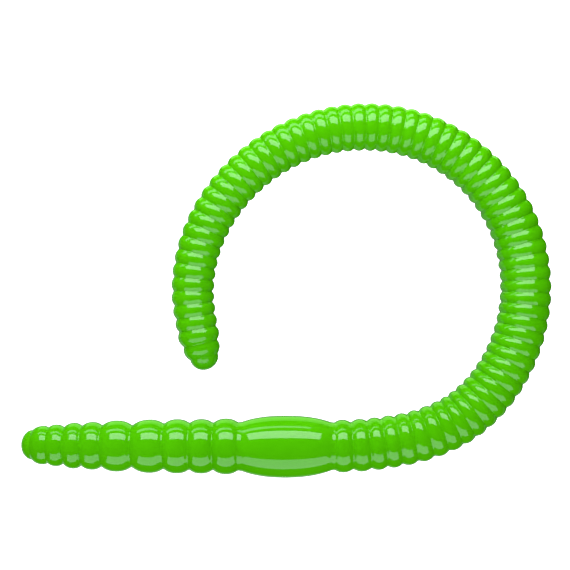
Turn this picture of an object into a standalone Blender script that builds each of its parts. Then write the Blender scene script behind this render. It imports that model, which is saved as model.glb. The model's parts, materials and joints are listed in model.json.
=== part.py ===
"""A soft plastic fishing worm: a straight ringed head, a smooth barrel collar and a long ringed tail.

The worm lies on its side on the XY plane. Its tail is moulded into a flat curl, and every ring rests on
the plane. The real bait is one soft moulding that flexes at its ring grooves, so it is divided there. Each
head ring and each run of tail rings is its own solid, whose origin is on the hinge axis of the groove
that joins it to the section before it. The collar is the root, and each section is parented to the one
that it hangs on, out to the nose on one side and to the tail tip on the other.
"""

import math

import bmesh
import bpy
from mathutils import Matrix, Vector

# Lengths are in millimetres and angles in degrees. Distances along the worm start at the nose.
MM = 0.001
UP = Vector((0.0, 0.0, 1.0))

# Length along the worm and crest radius of each part of the head, from the nose backwards.
NOSE = (0.92, 1.25)
HEAD_RINGS = (
    (1.37, 1.50),
    (1.27, 1.67),
    (1.48, 1.83),
    (1.62, 1.91),
    (2.44, 2.04),
    (2.56, 2.12),
    (2.05, 2.16),
    (1.90, 2.17),
    (2.03, 2.22),
)
COLLAR = (7.67, 2.46)

# The tail: equal rings, then one long ring, one narrow ring and the rounded tip.
TAIL_SECTIONS = 22
RINGS_PER_SECTION = 3
TAIL_RING_LENGTHS = ((0, 1.50), (2, 1.17), (6, 1.15), (8, 0.96), (65, 1.02))  # (ring number, length)
TAIL_END = ((1.20, 1.67), (1.16, 1.46), (1.05, 1.22))
TAIL_RADIUS = 2.11
TAIL_TAPER = (0.16, 0.29)  # radius lost by the tip, in proportion to the distance and to its square

# Degrees that the tail turns in each millimetre, at fractions of its length.
CURL = ((0.0, 1.97), (0.06, 2.02), (0.14, 5.65), (0.25, 4.24), (0.45, 4.54), (0.75, 4.0), (0.92, 4.86), (1.0, -2.0))
SPINE_STEP = 0.05

# How deep a groove is below the lower of its two crests, in proportion to the shorter ring's length. The
# last grooves at the nose and at the tip are shallower, and have one depth.
GROOVE_SHARE = 0.14
END_GROOVES = 2
END_GROOVE_DEPTH = 0.07
RING_FULLNESS = 2.3  # 2 is a round crest, and more is flatter on top

# Every groove is a hinge. S swings in the plane of the curl, and L lifts out of it.
HEAD_HINGES = "SLSLSLSLSL"
TAIL_HINGES = "SSLSSSLSSSLSSSLSSSLSSLS"
HEAD_SWING = 11.5
LIFT = 10.0
LIFT_SIGNS = (1, -1, -1, 1)  # lifts go up, down, down, up, so that together they ripple and never coil
LEAST_SWING_BACK = 10.0
TIGHTEN = 1.0  # how much further the tail curls in at the collar
TIGHTEN_MORE = 13.0  # what the tip adds to that, in proportion to the square of the place
LEAST_TIGHTEN = 9.0  # where it would be less than this, the tail keeps the curl that it was moulded with
HINGE_MARGIN = 0.6
NECK_GAP = 0.04  # between two sections, on the hinge axis

SIDES = 16
STATIONS_PER_MM = 4
STATIONS = (4, 14)  # fewest and most along one element
DOME_STATIONS = 5
BELLY = 15.0  # half the angle over which the collar is pressed flat where it rests
SHARP_ANGLE = 50.0

SOFT_GREEN = (0.078, 0.546, 0.0012, 1.0)
ROUGHNESS = 0.16
COAT = 0.4


def straight_between(x, pairs):
    """The value at x on straight lines through (x, value) pairs."""
    for (x0, v0), (x1, v1) in zip(pairs, pairs[1:]):
        if x <= x1:
            return v0 + (v1 - v0) * max(0.0, (x - x0) / (x1 - x0))
    return pairs[-1][1]


def eased_between(x, pairs):
    """The same, easing out of one pair and into the next."""
    for (x0, v0), (x1, v1) in zip(pairs, pairs[1:]):
        if x <= x1:
            t = max(0.0, (x - x0) / (x1 - x0))
            return v0 + (v1 - v0) * t * t * (3 - 2 * t)
    return pairs[-1][1]


class Element:
    """One ring, or the nose, the collar or the tip, between its front groove and its back groove."""

    def __init__(self, start, length, crest):
        self.start = start
        self.end = start + length
        self.middle = start + length / 2
        self.length = length
        self.crest = crest
        self.front_radius = 0.0
        self.back_radius = 0.0

    def ring_profile(self):
        """(distance, radius) along a swollen ring."""
        fewest, most = STATIONS
        steps = min(max(2 * round(self.length * STATIONS_PER_MM / 2), fewest), most)
        rise = self.crest - (self.front_radius + self.back_radius) / 2
        profile = []
        for i in range(steps + 1):
            t = i / steps
            line = self.front_radius + (self.back_radius - self.front_radius) * t
            arch = 1 - abs(2 * t - 1) ** RING_FULLNESS
            profile.append((self.start + self.length * t, line + rise * arch))
        return profile

    def dome_profile(self):
        """(distance, radius) along a rounded end, which is a quarter of an ellipse from its groove."""
        at_nose = not self.front_radius
        groove = self.back_radius if at_nose else self.front_radius
        profile = []
        for i in range(DOME_STATIONS + 1):
            angle = math.pi / 2 * i / DOME_STATIONS
            out = self.length * math.sin(angle)
            profile.append((self.end - out if at_nose else self.start + out, groove * math.cos(angle)))
        return profile[::-1] if at_nose else profile

    def profile(self):
        ring = self.front_radius and self.back_radius
        return self.ring_profile() if ring else self.dome_profile()


def make_elements():
    """Every element of the worm, from the nose to the tip of the tail."""
    lengths = [straight_between(i, TAIL_RING_LENGTHS) for i in range(TAIL_SECTIONS * RINGS_PER_SECTION)]
    whole = sum(lengths) + sum(length for length, _ in TAIL_END)
    sizes = [NOSE, *HEAD_RINGS, COLLAR]
    place = 0.0
    for length in lengths:
        u = (place + length / 2) / whole
        sizes.append((length, TAIL_RADIUS - TAIL_TAPER[0] * u - TAIL_TAPER[1] * u * u))
        place += length
    sizes.extend(TAIL_END)
    elements = []
    place = 0.0
    for length, crest in sizes:
        elements.append(Element(place, length, crest))
        place += length
    for i, (one, other) in enumerate(zip(elements, elements[1:])):
        at_end = i < END_GROOVES or i >= len(elements) - 1 - END_GROOVES
        depth = END_GROOVE_DEPTH if at_end else GROOVE_SHARE * min(one.length, other.length)
        one.back_radius = other.front_radius = min(one.crest, other.crest) - depth
    return elements


class Spine:
    """The centre line: straight as far as the tail, then curling, and as high as the worm is thick there."""

    def __init__(self, elements, collar):
        self.tail = collar.end
        self.length = elements[-1].end
        self.offset = Vector((0.0, 0.0, 0.0))
        pressed = collar.crest * math.cos(math.radians(BELLY))
        self.heights = [(e.middle, pressed if e is collar else e.crest) for e in elements]
        steps = round(self.length / SPINE_STEP)
        self.step = self.length / steps
        self.points = [(0.0, 0.0, 0.0)]
        for i in range(steps):
            x, y, heading = self.points[-1]
            turn = math.radians(self.curl((i + 0.5) * self.step)) * self.step
            x += self.step * math.cos(heading + turn / 2)
            y += self.step * math.sin(heading + turn / 2)
            self.points.append((x, y, heading + turn))

    def curl(self, place):
        if place <= self.tail:
            return 0.0
        return eased_between((place - self.tail) / (self.length - self.tail), CURL)

    def at(self, place):
        """(centre, tangent, side) there. The side points to the outside of the curl."""
        index = min(int(place / self.step), len(self.points) - 2)
        part = place / self.step - index
        x, y, heading = (a + (b - a) * part for a, b in zip(self.points[index], self.points[index + 1]))
        centre = Vector((x, y, straight_between(place, self.heights))) + self.offset
        tangent = Vector((math.cos(heading), math.sin(heading), 0.0))
        return centre, tangent, tangent.cross(UP)

    def heading(self, place):
        """The heading there in degrees, counted on past a half turn."""
        index = min(round(place / self.step), len(self.points) - 1)
        return math.degrees(self.points[index][2])

    def ring(self, place, radius, angles):
        """The points of one ring. Angle 0 is the outside of the curl, and a quarter turn is the top."""
        centre, _, side = self.at(place)
        return [centre + side * (radius * math.cos(a)) + UP * (radius * math.sin(a)) for a in angles]

    def centre_outline(self, elements):
        """Put the origin under the middle of the worm's outline."""
        rings = [self.ring(place, r, (0.0, math.pi)) for e in elements for place, r in e.profile()]
        points = [point for ring in rings for point in ring]
        for axis in (0, 1):
            values = [point[axis] for point in points]
            self.offset[axis] = -(min(values) + max(values)) / 2


class Hinge:
    """A groove that flexes, between a section nearer the collar and the one further out that it moves."""

    def __init__(self, spine, place, outward, kind, sign, low, high):
        self.place = place
        self.centre, self.tangent, _ = spine.at(place)
        self.outward = self.tangent * outward
        self.axis = UP if kind == "S" else self.outward.cross(UP) * sign
        self.side = self.outward.cross(self.axis)
        self.low = low
        self.high = high

    def matrix(self):
        """A section's own axes in mm: X leads away from the collar, Z is up, and the origin is the hinge."""
        turn = Matrix((self.outward, UP.cross(self.outward), UP)).transposed()
        return Matrix.Translation(self.centre) @ turn.to_4x4()

    def setback(self, point):
        """How far an end face keeps back from the groove at this point, so that the hinge can close."""
        across = (point - self.centre).dot(self.side)
        closing = -self.low if across > 0 else self.high
        return NECK_GAP / 2 + abs(across) * math.tan(math.radians(closing / 2 + HINGE_MARGIN))


def straightening(spine, places):
    """How far each swinging groove turns back when the tail is pulled straight."""
    middles = [(a + b) / 2 for a, b in zip(places, places[1:])]
    headings = [spine.heading(place) for place in (places[0], *middles, spine.length)]
    turns = [b - a for a, b in zip(headings, headings[1:])]
    for i, kind in enumerate(TAIL_HINGES):
        if kind == "L":
            turns[i - 1] += turns[i] / 2
            turns[i + 1] += turns[i] / 2
            turns[i] = 0.0
    return turns


def make_hinges(spine, places, outward, kinds, swings):
    """The hinges at these places. swings gives the low and high limit of each one that swings."""
    hinges = []
    lifts = 0
    for place, kind, (low, high) in zip(places, kinds, swings):
        sign = 1
        if kind == "L":
            low, high = -LIFT, LIFT
            sign = LIFT_SIGNS[lifts % len(LIFT_SIGNS)]
            lifts += 1
        hinges.append(Hinge(spine, place, outward, kind, sign, low, high))
    return hinges


def head_hinges(spine, elements):
    places = [element.end for element in elements[len(HEAD_RINGS) :: -1]]
    return make_hinges(spine, places, -1, HEAD_HINGES, [(-HEAD_SWING, HEAD_SWING)] * len(places))


def tail_hinges(spine, elements):
    rings = elements[len(HEAD_RINGS) + 2 :]
    places = [rings[i * RINGS_PER_SECTION].start for i in range(TAIL_SECTIONS + 1)]
    swings = []
    for i, turn in enumerate(straightening(spine, places)):
        tighten = TIGHTEN + TIGHTEN_MORE * (i / TAIL_SECTIONS) ** 2
        if tighten < LEAST_TIGHTEN:
            tighten = 0.0
        swings.append((-round(max(turn, LEAST_SWING_BACK), 1), round(tighten, 1)))
    return make_hinges(spine, places, 1, TAIL_HINGES, swings)


def ring_angles(pressed):
    """The angles of a ring's points. A pressed ring has two more, where its flat belly begins and ends."""
    angles = [math.tau * i / SIDES for i in range(SIDES)]
    if pressed:
        lowest = 1.5 * math.pi
        angles += [lowest - math.radians(BELLY), lowest + math.radians(BELLY)]
    return sorted(angles)


def make_room(rings, places, crest, hinge):
    """Draw the half ring between a crest and a groove back, so that it ends on two flat faces."""
    setbacks = [hinge.setback(point) for point in rings[places.index(hinge.place)]]
    inward = hinge.tangent * math.copysign(1.0, crest - hinge.place)
    for ring, place in zip(rings, places):
        share = (place - crest) / (hinge.place - crest)
        for i, setback in enumerate(setbacks):
            ring[i] = ring[i] + inward * (setback * max(0.0, share))


def close_on_ridge(bm, loop, hinge):
    """Close an end with two flat half discs, which meet in a ridge along the hinge axis."""
    from_axis = [abs((vert.co - hinge.centre).dot(hinge.side)) for vert in loop]
    first, second = sorted(sorted(range(len(loop)), key=from_axis.__getitem__)[:2])
    bm.faces.new(loop[first : second + 1])
    bm.faces.new(loop[second:] + loop[: first + 1])


def closed_skin(rings, first_hinge, last_hinge):
    """A closed skin over the rings. An end with no hinge is a single point."""
    bm = bmesh.new()
    loops = [[bm.verts.new(point) for point in ring] for ring in rings[1:-1]]
    for hinge, ring, at in ((first_hinge, rings[0], 0), (last_hinge, rings[-1], len(loops) + 1)):
        loops.insert(at, [bm.verts.new(point) for point in (ring if hinge else ring[:1])])
    for one, other in zip(loops, loops[1:]):
        for i in range(max(len(one), len(other))):
            j = i + 1
            corners = (one[i % len(one)], other[i % len(other)], other[j % len(other)], one[j % len(one)])
            bm.faces.new(dict.fromkeys(corners))
    for hinge, loop in ((first_hinge, loops[0]), (last_hinge, loops[-1])):
        if hinge:
            close_on_ridge(bm, loop, hinge)
    bmesh.ops.recalc_face_normals(bm, faces=bm.faces)
    return bm


def section_skin(spine, elements, first_hinge, last_hinge):
    """The closed skin of a run of elements between two hinges, or out to the nose or the tip."""
    pressed = len(elements) == 1 and elements[0].crest == COLLAR[1]
    angles = ring_angles(pressed)
    profile = dict(point for element in elements for point in element.profile())
    places = list(profile)
    rings = [spine.ring(place, radius, angles) for place, radius in profile.items()]
    for point in (point for ring in rings for point in ring):
        point.z = max(point.z, 0.0)
    if first_hinge:
        make_room(rings, places, elements[0].middle, first_hinge)
    if last_hinge:
        make_room(rings, places, elements[-1].middle, last_hinge)
    return closed_skin(rings, first_hinge, last_hinge)


def add_section(name, skin, frame, parent, material):
    """One named solid at its own frame, which is a matrix in mm, under the section that it hangs on."""
    skin.transform(frame.inverted())
    skin.transform(Matrix.Scale(MM, 4))
    mesh = bpy.data.meshes.new(name)
    skin.to_mesh(mesh)
    skin.free()
    mesh.shade_smooth()
    mesh.set_sharp_from_angle(angle=math.radians(SHARP_ANGLE))
    mesh.materials.append(material)
    section = bpy.data.objects.new(name, mesh)
    bpy.context.scene.collection.objects.link(section)
    section.parent = parent
    place = Matrix.Translation(frame.translation * MM) @ frame.to_3x3().to_4x4()
    if parent:
        place = parent.matrix_world.inverted() @ place
    section.location = place.translation
    section.rotation_euler = place.to_euler()
    bpy.context.view_layer.update()
    return section


def soft_plastic():
    material = bpy.data.materials.new("soft_plastic")
    material.use_nodes = True
    shader = material.node_tree.nodes["Principled BSDF"]
    shader.inputs["Base Color"].default_value = SOFT_GREEN
    shader.inputs["Roughness"].default_value = ROUGHNESS
    shader.inputs["Metallic"].default_value = 0.0
    shader.inputs["Coat Weight"].default_value = COAT
    return material


def clear_scene():
    for thing in list(bpy.data.objects):
        bpy.data.objects.remove(thing, do_unlink=True)


def make_head(spine, elements, hinges, root, material):
    """The head rings from the collar forwards, then the nose."""
    parent = root
    for i, hinge in enumerate(hinges):
        number = len(HEAD_RINGS) - i
        element = elements[number]
        name = f"head_ring_{number}" if number else "nose_tip"
        further = hinges[i + 1] if number else None
        skin = section_skin(spine, [element], further, hinge)
        parent = add_section(name, skin, hinge.matrix(), parent, material)


def make_tail(spine, rings, hinges, root, material):
    """The tail sections from the collar backwards, then the tip."""
    parent = root
    for i, hinge in enumerate(hinges):
        at_tip = i == TAIL_SECTIONS
        run = rings[i * RINGS_PER_SECTION :][:RINGS_PER_SECTION]
        name = "tail_tip" if at_tip else f"tail_section_{i + 1:02d}"
        further = None if at_tip else hinges[i + 1]
        skin = section_skin(spine, run, hinge, further)
        parent = add_section(name, skin, hinge.matrix(), parent, material)


def make_worm():
    elements = make_elements()
    collar = elements[len(HEAD_RINGS) + 1]
    spine = Spine(elements, collar)
    spine.centre_outline(elements)
    head = head_hinges(spine, elements)
    tail = tail_hinges(spine, elements)
    material = soft_plastic()
    middle, _, _ = spine.at(collar.middle)
    skin = section_skin(spine, [collar], head[0], tail[0])
    root = add_section("collar", skin, Matrix.Translation(middle), None, material)
    make_head(spine, elements, head, root, material)
    make_tail(spine, elements[len(HEAD_RINGS) + 2 :], tail, root, material)
    return head, tail


clear_scene()
make_worm()
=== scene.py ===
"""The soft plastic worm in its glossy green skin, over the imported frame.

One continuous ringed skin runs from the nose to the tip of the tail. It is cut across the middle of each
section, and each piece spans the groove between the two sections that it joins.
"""

import json
import math

import bpy
import numpy as np
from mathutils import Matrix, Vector

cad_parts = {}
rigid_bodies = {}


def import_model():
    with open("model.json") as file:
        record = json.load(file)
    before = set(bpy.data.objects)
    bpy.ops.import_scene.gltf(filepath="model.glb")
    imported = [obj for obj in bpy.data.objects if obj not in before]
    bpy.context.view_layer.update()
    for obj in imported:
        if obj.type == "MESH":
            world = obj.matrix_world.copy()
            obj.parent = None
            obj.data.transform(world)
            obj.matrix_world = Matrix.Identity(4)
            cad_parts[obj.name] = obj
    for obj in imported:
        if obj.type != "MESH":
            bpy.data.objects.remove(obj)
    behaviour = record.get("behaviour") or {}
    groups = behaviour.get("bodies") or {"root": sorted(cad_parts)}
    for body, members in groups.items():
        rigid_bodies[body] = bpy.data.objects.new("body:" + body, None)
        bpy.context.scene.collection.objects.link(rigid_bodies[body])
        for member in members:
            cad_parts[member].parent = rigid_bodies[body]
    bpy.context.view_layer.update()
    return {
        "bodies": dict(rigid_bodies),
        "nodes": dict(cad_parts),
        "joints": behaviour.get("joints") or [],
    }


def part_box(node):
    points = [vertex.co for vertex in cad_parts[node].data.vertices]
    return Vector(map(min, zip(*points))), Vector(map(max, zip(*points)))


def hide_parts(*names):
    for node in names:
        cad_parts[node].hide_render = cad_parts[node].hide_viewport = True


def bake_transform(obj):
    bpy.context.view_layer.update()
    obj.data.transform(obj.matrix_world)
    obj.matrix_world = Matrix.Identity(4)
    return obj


MM = 0.001
UP = np.array((0.0, 0.0, 1.0))

# The rings, in millimetres. The sections' lengths and crest radii come from the frame.
TAIL_RING_LENGTHS = ((0, 1.50), (2, 1.17), (6, 1.15), (8, 0.96), (65, 1.02))  # (ring number, length)
RINGS_PER_SECTION = 3
TIP = ((1.20, 1.67), (1.16, 1.46), (1.05, 1.22))  # length and crest radius of the tip's parts
HEAD_GROOVE = 0.14  # depth, in proportion to the shorter ring's length
TAIL_GROOVE = 0.165
END_GROOVES = 2  # this many at the nose and at the tip are shallower
END_GROOVE_DEPTH = 0.07
HEAD_FULLNESS = 2.3  # 2 is a round crest, and more is flatter on top
TAIL_FULLNESS = 2.05
FILLET_SHARE = 0.05  # a groove's rounded bottom, in proportion to the ring's length

AROUND = 64
RING_STATIONS = 14
COLLAR_STATIONS = 64
DOME_STATIONS = 16
BEND = 1.6  # how far from a groove the stretch that would bend reaches, at most; it is worked out for each piece but not used
BEND_MARGIN = 0.35  # and how far from a cut that stretch stays, at least
BARREL = 5.0  # only the collar is longer than this
NO_TURN = 1e-4  # radians
ONE_POINT = 1e-6

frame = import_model()


# ---------------------------------------------------------------- the line of the worm


def bodies_in_order():
    """The bodies from the nose to the tip of the tail, and the hinge between each two."""
    joint_of = {joint["child"]: joint for joint in frame["joints"]}
    parents = {joint["parent"] for joint in frame["joints"]}
    ends = [body for body in frame["bodies"] if body not in parents]
    ways = []
    for body in ends:
        way = [body]
        while way[-1] in joint_of:
            way.append(joint_of[way[-1]]["parent"])
        ways.append(way)
    to_nose, to_tip = sorted(ways, key=len)
    order = to_nose + to_tip[-2::-1]
    hinges = []
    for one, other in zip(order, order[1:]):
        child = one if joint_of.get(one, {}).get("parent") == other else other
        hinges.append(np.array(joint_of[child]["pos_m"]) / MM)
    return order, hinges


def corners(node):
    low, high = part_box(node)
    return np.array(low) / MM, np.array(high) / MM


def far_point(node, hinge):
    """The point of an end node that is furthest from its hinge, along the node."""
    points = np.array([v.co for v in frame["nodes"][node].data.vertices]) / MM
    along = points.mean(axis=0) - hinge
    return points[(points @ along).argmax()]


class Line:
    """The centre line as cubic curves through the hinges, straight along its first pieces."""

    def __init__(self, points, straight):
        points = np.array(points)
        chords = np.diff(points, axis=0)
        lengths = np.linalg.norm(chords, axis=1)
        ways = chords / lengths[:, None]
        tangents = [ways[0]]
        for i in range(1, len(points) - 1):
            mean = ways[i - 1] * lengths[i] + ways[i] * lengths[i - 1]
            tangents.append(ways[0] if i <= straight else mean / np.linalg.norm(mean))
        tangents.append(2 * (ways[-1] @ tangents[-1]) * ways[-1] - tangents[-1])
        flat = np.array([(1.0, 1.0, 0.0)])
        self.points = points * flat
        self.tangents = np.array(tangents) * flat
        turn = np.arccos(np.clip((self.tangents[:-1] * self.tangents[1:]).sum(axis=1), -1, 1)) / 2
        arc_to_chord = turn / np.sin(np.maximum(turn, NO_TURN))
        self.lengths = lengths * np.where(turn > NO_TURN, arc_to_chord, 1.0)
        self.places = np.concatenate(([0.0], np.cumsum(self.lengths)))

    def at(self, place):
        """(centre on the XY plane, tangent) there."""
        i = min(max(int(np.searchsorted(self.places, place)) - 1, 0), len(self.lengths) - 1)
        t = (place - self.places[i]) / self.lengths[i]
        p, q = self.points[i], self.points[i + 1]
        m, n = self.tangents[i] * self.lengths[i], self.tangents[i + 1] * self.lengths[i]
        centre = (
            p * (2 * t**3 - 3 * t**2 + 1)
            + m * (t**3 - 2 * t**2 + t)
            + q * (3 * t**2 - 2 * t**3)
            + n * (t**3 - t**2)
        )
        slope = (p - q) * (6 * t**2 - 6 * t) + m * (3 * t**2 - 4 * t + 1) + n * (3 * t**2 - 2 * t)
        return centre, slope / np.linalg.norm(slope)


# ---------------------------------------------------------------- the rings


class Ring:
    """One ring, or the nose, the collar or the tip."""

    def __init__(self, body, start, end, crest):
        self.body = body
        self.in_tail = body.startswith("tail")
        self.fullness = TAIL_FULLNESS if self.in_tail else HEAD_FULLNESS
        self.start = start
        self.end = end
        self.middle = (start + end) / 2
        self.length = end - start
        self.crest = crest
        self.front = self.back = 0.0

    def profile(self):
        """Distances along the worm and the radius at each."""
        if not self.front:
            angles = np.linspace(0, math.pi / 2, DOME_STATIONS + 1)
            return self.end - self.length * np.cos(angles), self.back * np.sin(angles)
        if not self.back:
            angles = np.linspace(0, math.pi / 2, DOME_STATIONS + 1)
            return self.start + self.length * np.sin(angles), self.front * np.cos(angles)
        steps = COLLAR_STATIONS if self.length > BARREL else RING_STATIONS
        t = (1 - np.cos(np.linspace(0, math.pi, steps + 1))) / 2
        line = self.front + (self.back - self.front) * t
        rise = self.crest - (self.front + self.back) / 2
        return self.start + self.length * t, line + rise * self.swell(t)

    def swell(self, t):
        """0 at the grooves and 1 at the crest. The groove's bottom is a parabola as wide as its fillet."""
        edge = FILLET_SHARE
        from_end = np.minimum(t, 1 - t)
        arch = 1 - np.abs(1 - 2 * from_end) ** self.fullness
        slope = 2 * self.fullness * (1 - 2 * edge) ** (self.fullness - 1)
        lost = 1 - (1 - 2 * edge) ** self.fullness - slope * edge / 2
        return np.where(from_end < edge, slope * from_end**2 / (2 * edge), arch - lost) / (1 - lost)


def make_rings(order, line, head_bodies):
    """Every ring from the nose to the tip of the tail. The collar is the last of the head's bodies."""
    rings = []
    sizes = [corners(body) for body in order]
    for i, body in enumerate(order):
        start, end = line.places[i], line.places[i + 1]
        low, high = sizes[i]
        if i < head_bodies:
            end_groove = END_GROOVE_DEPTH if i == 0 else 0.0
            rings.append(Ring(body, start, end, (high[1] - low[1]) / 2 + end_groove))
            continue
        if i == len(order) - 1:
            parts = [length for length, _ in TIP]
            crests = [crest for _, crest in TIP]
        else:
            first = (i - head_bodies) * RINGS_PER_SECTION
            parts = np.interp(range(first, first + RINGS_PER_SECTION), *zip(*TAIL_RING_LENGTHS))
            thick, thin = high[2] / 2, sizes[i + 1][1][2] / 2
            crests = [thick + (thin - thick) * k / len(parts) for k in range(len(parts))]
        place = start
        for part, crest in zip(parts, crests):
            length = part * (end - start) / sum(parts)
            rings.append(Ring(body, place, place + length, crest))
            place += length
    for i, (one, other) in enumerate(zip(rings, rings[1:])):
        at_end = i < END_GROOVES or i >= len(rings) - 1 - END_GROOVES
        share = TAIL_GROOVE if one.in_tail else HEAD_GROOVE
        depth = END_GROOVE_DEPTH if at_end else share * min(one.length, other.length)
        one.back = other.front = min(one.crest, other.crest) - depth
    return rings


# ---------------------------------------------------------------- the skin


def heights_of(rings):
    """(distances, heights) of the centre line: each crest just touches what the worm lies on."""
    places, heights = [], []
    for ring in rings:
        top = corners(ring.body)[1][2]
        pressed = ring.length > BARREL
        places.append(ring.middle)
        heights.append(top - ring.crest if pressed else ring.crest)
    return places, heights


def skin_grid(rings, line):
    """(distances, points, normals) of the whole skin: a row for each station, a column for each angle."""
    places, radii = [], []
    for ring in rings:
        along, radius = ring.profile()
        skip = 1 if places else 0
        places.extend(along[skip:])
        radii.extend(radius[skip:])
    angles = np.linspace(0, math.tau, AROUND, endpoint=False)
    heights = np.interp(places, *heights_of(rings))
    points = np.empty((len(places), AROUND, 3))
    for i, (place, radius, height) in enumerate(zip(places, radii, heights)):
        centre, tangent = line.at(place)
        side = np.cross(tangent, UP)
        out = np.outer(np.cos(angles), side) + np.outer(np.sin(angles), UP)
        points[i] = centre + UP * height + out * radius
    points[:, :, 2] = np.maximum(points[:, :, 2], 0.0)
    along = np.gradient(points, axis=0)
    round_it = np.roll(points, -1, axis=1) - np.roll(points, 1, axis=1)
    normals = np.cross(round_it, along)
    for end, way in ((0, -1), (-1, 1)):
        normals[end] = way * line.at(places[end])[1]
    normals /= np.linalg.norm(normals, axis=2, keepdims=True)
    return np.array(places), points, normals


def skin_piece(name, points, normals):
    """A mesh over some rows of the skin's grid. A row whose points are all one point closes the end."""
    rows, columns, _ = points.shape
    index = np.arange(rows * columns).reshape(rows, columns)
    faces = []
    for i in range(rows - 1):
        one, other = index[i], index[i + 1]
        if np.ptp(points[i], axis=0).max() < ONE_POINT:
            one = np.full(columns, one[0])
        if np.ptp(points[i + 1], axis=0).max() < ONE_POINT:
            other = np.full(columns, other[0])
        for j in range(columns):
            k = (j + 1) % columns
            faces.append(list(dict.fromkeys((one[j], one[k], other[k], other[j]))))
    used = sorted({v for face in faces for v in face})
    new = {v: i for i, v in enumerate(used)}
    mesh = bpy.data.meshes.new(name)
    mesh.from_pydata(
        [tuple(p * MM) for p in points.reshape(-1, 3)[used]],
        [],
        [[new[v] for v in face] for face in faces],
    )
    mesh.shade_smooth()
    mesh.normals_split_custom_set_from_vertices([tuple(n) for n in normals.reshape(-1, 3)[used]])
    mesh.validate()
    piece = bpy.data.objects.new(name, mesh)
    bpy.context.scene.collection.objects.link(piece)
    return piece


def dress(order, line, rings, material):
    """A piece of skin for each hinge, from the middle of one section to the middle of the next."""
    places, points, normals = skin_grid(rings, line)
    middles = (line.places[:-1] + line.places[1:]) / 2
    cuts = [0]
    for body, middle in zip(order[1:-1], middles[1:-1]):
        own = [ring for ring in rings if ring.body == body]
        cuts.append(int(np.abs(places - own[len(own) // 2].middle).argmin()))
    cuts.append(len(places) - 1)
    for i, (one, other) in enumerate(zip(order, order[1:])):
        rows = slice(cuts[i], cuts[i + 1] + 1)
        piece = skin_piece(f"skin_{one}_to_{other}", points[rows], normals[rows])
        piece.data.materials.append(material)
        hinge = line.places[i + 1]
        before = min(hinge - places[cuts[i]] - BEND_MARGIN, BEND)
        after = min(places[cuts[i + 1]] - hinge - BEND_MARGIN, BEND)
        start, _ = line.at(hinge - before)
        end, _ = line.at(hinge + after)
        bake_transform(piece)
        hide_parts(one, other)


# ---------------------------------------------------------------- material

PLASTIC_IOR = 1.5
PIGMENTS = ((0.3, (0.078, 0.515, 0.0010, 1)), (0.7, (0.088, 0.556, 0.0016, 1)))  # (noise, colour)
CLOUD_SCALE, CLOUD_DETAIL = 260.0, 3.0
ROUGHNESS = (0.015, 0.035)
RIPPLE_SCALE, RIPPLE_DETAIL = 700.0, 2.0
RIPPLE_STRENGTH = 0.03
RIPPLE_HEIGHT = 0.04  # millimetres


def link(tree, source, out, target, into):
    tree.links.new(source.outputs[out], target.inputs[into])


def soft_plastic():
    """Glossy green plastic: a faintly uneven pigment, under a wet-looking surface with a fine ripple."""
    material = bpy.data.materials.new("soft_plastic_skin")
    material.use_nodes = True
    tree = material.node_tree
    shader = tree.nodes["Principled BSDF"]
    shader.inputs["IOR"].default_value = PLASTIC_IOR
    where = tree.nodes.new("ShaderNodeTexCoord")

    cloud = tree.nodes.new("ShaderNodeTexNoise")
    cloud.inputs["Scale"].default_value = CLOUD_SCALE
    cloud.inputs["Detail"].default_value = CLOUD_DETAIL
    link(tree, where, "Object", cloud, "Vector")
    pigment = tree.nodes.new("ShaderNodeValToRGB")
    for stop, (position, colour) in zip(pigment.color_ramp.elements, PIGMENTS):
        stop.position = position
        stop.color = colour
    link(tree, cloud, "Fac", pigment, "Fac")
    link(tree, pigment, "Color", shader, "Base Color")

    gloss = tree.nodes.new("ShaderNodeMapRange")
    gloss.inputs["To Min"].default_value, gloss.inputs["To Max"].default_value = ROUGHNESS
    link(tree, cloud, "Fac", gloss, "Value")
    link(tree, gloss, "Result", shader, "Roughness")

    ripple = tree.nodes.new("ShaderNodeTexNoise")
    ripple.inputs["Scale"].default_value = RIPPLE_SCALE
    ripple.inputs["Detail"].default_value = RIPPLE_DETAIL
    link(tree, where, "Object", ripple, "Vector")
    bump = tree.nodes.new("ShaderNodeBump")
    bump.inputs["Strength"].default_value = RIPPLE_STRENGTH
    bump.inputs["Distance"].default_value = RIPPLE_HEIGHT * MM
    link(tree, ripple, "Fac", bump, "Height")
    link(tree, bump, "Normal", shader, "Normal")
    return material


# ---------------------------------------------------------------- studio

WHITE = (1, 1, 1, 1)
FLOOR_SHADE = (0.95, 0.95, 0.95)
FLOOR_GLOW = 0.95
FLOOR_RADIUS = 1500.0
FLOOR_SIDES = 96
FLOOR_DEPTH = 6.0  # below the worm, so that no groove can bend a part of it down through the floor
# Soft boxes: name, centre, the point it faces, width and height in millimetres, how bright it looks in the
# gloss, and how brightly it lights the plastic
CENTRE = (0, 0, 0)
BOXES = (
    ("window", (-1, 60, 55), CENTRE, (118, 47), 5.0, 3.65),
    ("front_box", (8, -355, 184), CENTRE, (616, 296), 2.25, 2.25),
    ("near_strip", (-14, 47.5, 6.3), CENTRE, (80, 12), 2.6, 0),
    ("back_strip", (-35, 119, 16), CENTRE, (185, 34), 0, 5.4),
    ("side_box", (-150, -10, 20), CENTRE, (120, 80), 0, 1.2),
    ("rim_card", (6, 120, -159), (6, 0, -159), (230, 170), 1.7, 0),
    ("under_card", (-81, -38, -100), (-81, -38, 0), (212, 176), 0.28, 0),
    ("low_strip", (0, -36, -34.5), CENTRE, (260, 8), 0.4, 0),
)
RIM_TINT = (0.5, 1.0, 0.27)  # the far edges glow green, as light comes through the plastic there
FILL = 0.30  # the even light from all round, which the gloss doesn't show
BEHIND = 1.03  # the box that lights the plastic is this much further out than the one in the gloss
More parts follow.
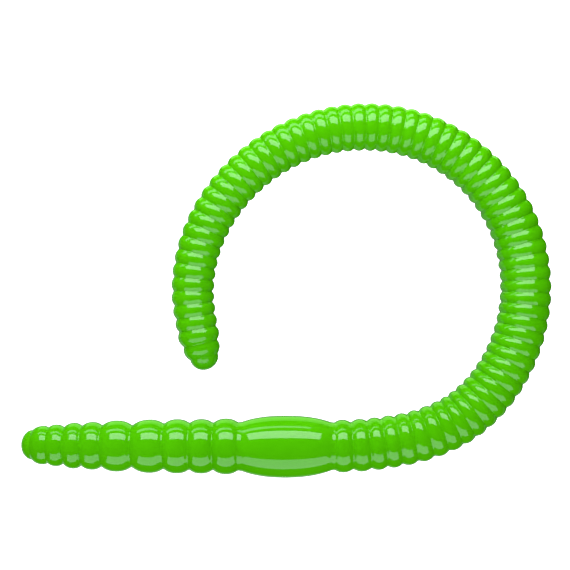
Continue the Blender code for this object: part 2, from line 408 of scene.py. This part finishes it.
# The camera sees the backdrop, and nothing else does
HIDDEN_FROM = ("diffuse", "glossy", "transmission", "volume_scatter", "shadow")


def pale_floor():
    material = bpy.data.materials.new("pale_floor")
    material.use_nodes = True
    shader = material.node_tree.nodes["Principled BSDF"]
    shader.inputs["Base Color"].default_value = (*FLOOR_SHADE, 1)
    shader.inputs["Roughness"].default_value = 1.0
    shader.inputs["Specular IOR Level"].default_value = 0.0
    shader.inputs["Emission Color"].default_value = WHITE
    shader.inputs["Emission Strength"].default_value = FLOOR_GLOW
    return material


def soft_box(name, centre, faces, size, radiance):
    """A rectangular light, which the camera doesn't see."""
    data = bpy.data.lights.new(name, "AREA")
    data.shape = "RECTANGLE"
    data.size, data.size_y = size[0] * MM, size[1] * MM
    data.energy = radiance * math.pi * data.size * data.size_y
    box = bpy.data.objects.new(name, data)
    box.location = Vector(centre) * MM
    box.rotation_euler = (Vector(faces) - Vector(centre)).to_track_quat("-Z", "Y").to_euler()
    box.visible_camera = False
    bpy.context.scene.collection.objects.link(box)
    return box


def make_studio():
    scene = bpy.context.scene
    for name, centre, faces, size, seen, lighting in BOXES:
        if seen:
            soft_box(name, centre, faces, size, seen).visible_diffuse = False
        if lighting:
            further = Vector(centre) * BEHIND
            soft_box(name + "_light", further, faces, size, lighting).visible_glossy = False
    bpy.data.lights["rim_card"].color = RIM_TINT
    pale = pale_floor()
    bpy.ops.mesh.primitive_circle_add(vertices=FLOOR_SIDES, radius=FLOOR_RADIUS * MM, fill_type="NGON")
    floor = bpy.context.object
    floor.name = "floor"
    floor.location.z = -FLOOR_DEPTH * MM
    floor.visible_glossy = False
    floor.visible_diffuse = False
    bpy.ops.mesh.primitive_uv_sphere_add(
        segments=FLOOR_SIDES, ring_count=FLOOR_SIDES // 2, radius=FLOOR_RADIUS * MM
    )
    backdrop = bpy.context.object
    backdrop.name = "backdrop"
    for ray in HIDDEN_FROM:
        setattr(backdrop, f"visible_{ray}", False)
    for shown in (floor, backdrop):
        shown.data.materials.append(pale)
    world = bpy.data.worlds.new("studio")
    world.use_nodes = True
    sky = world.node_tree.nodes["Background"]
    sky.inputs["Color"].default_value = WHITE
    sky.inputs["Strength"].default_value = FILL
    scene.world = world
    world.cycles_visibility.glossy = False
    scene.view_settings.view_transform = "Standard"


# ---------------------------------------------------------------- camera

LENS = 68.0
SENSOR = 36.0
CLIP = (1.0, 10000.0)
VIEW_WIDTH = 45.7  # across the picture, at the height of the worm's middle
LOOKS_AT = (0.017, 0.392, 2.1)


def make_camera():
    data = bpy.data.cameras.new("camera")
    data.lens = LENS
    data.sensor_width = SENSOR
    data.clip_start, data.clip_end = (distance * MM for distance in CLIP)
    camera = bpy.data.objects.new("camera", data)
    x, y, z = LOOKS_AT
    camera.location = Vector((x, y, z + VIEW_WIDTH * LENS / SENSOR)) * MM
    bpy.context.scene.collection.objects.link(camera)
    bpy.context.scene.camera = camera


# ---------------------------------------------------------------- the scene


order, hinges = bodies_in_order()
head_bodies = sum(not body.startswith("tail") for body in order)
ends = far_point(order[0], hinges[0]), far_point(order[-1], hinges[-1])
line = Line([ends[0], *hinges, ends[1]], head_bodies)
rings = make_rings(order, line, head_bodies)
dress(order, line, rings, soft_plastic())
make_studio()
make_camera()
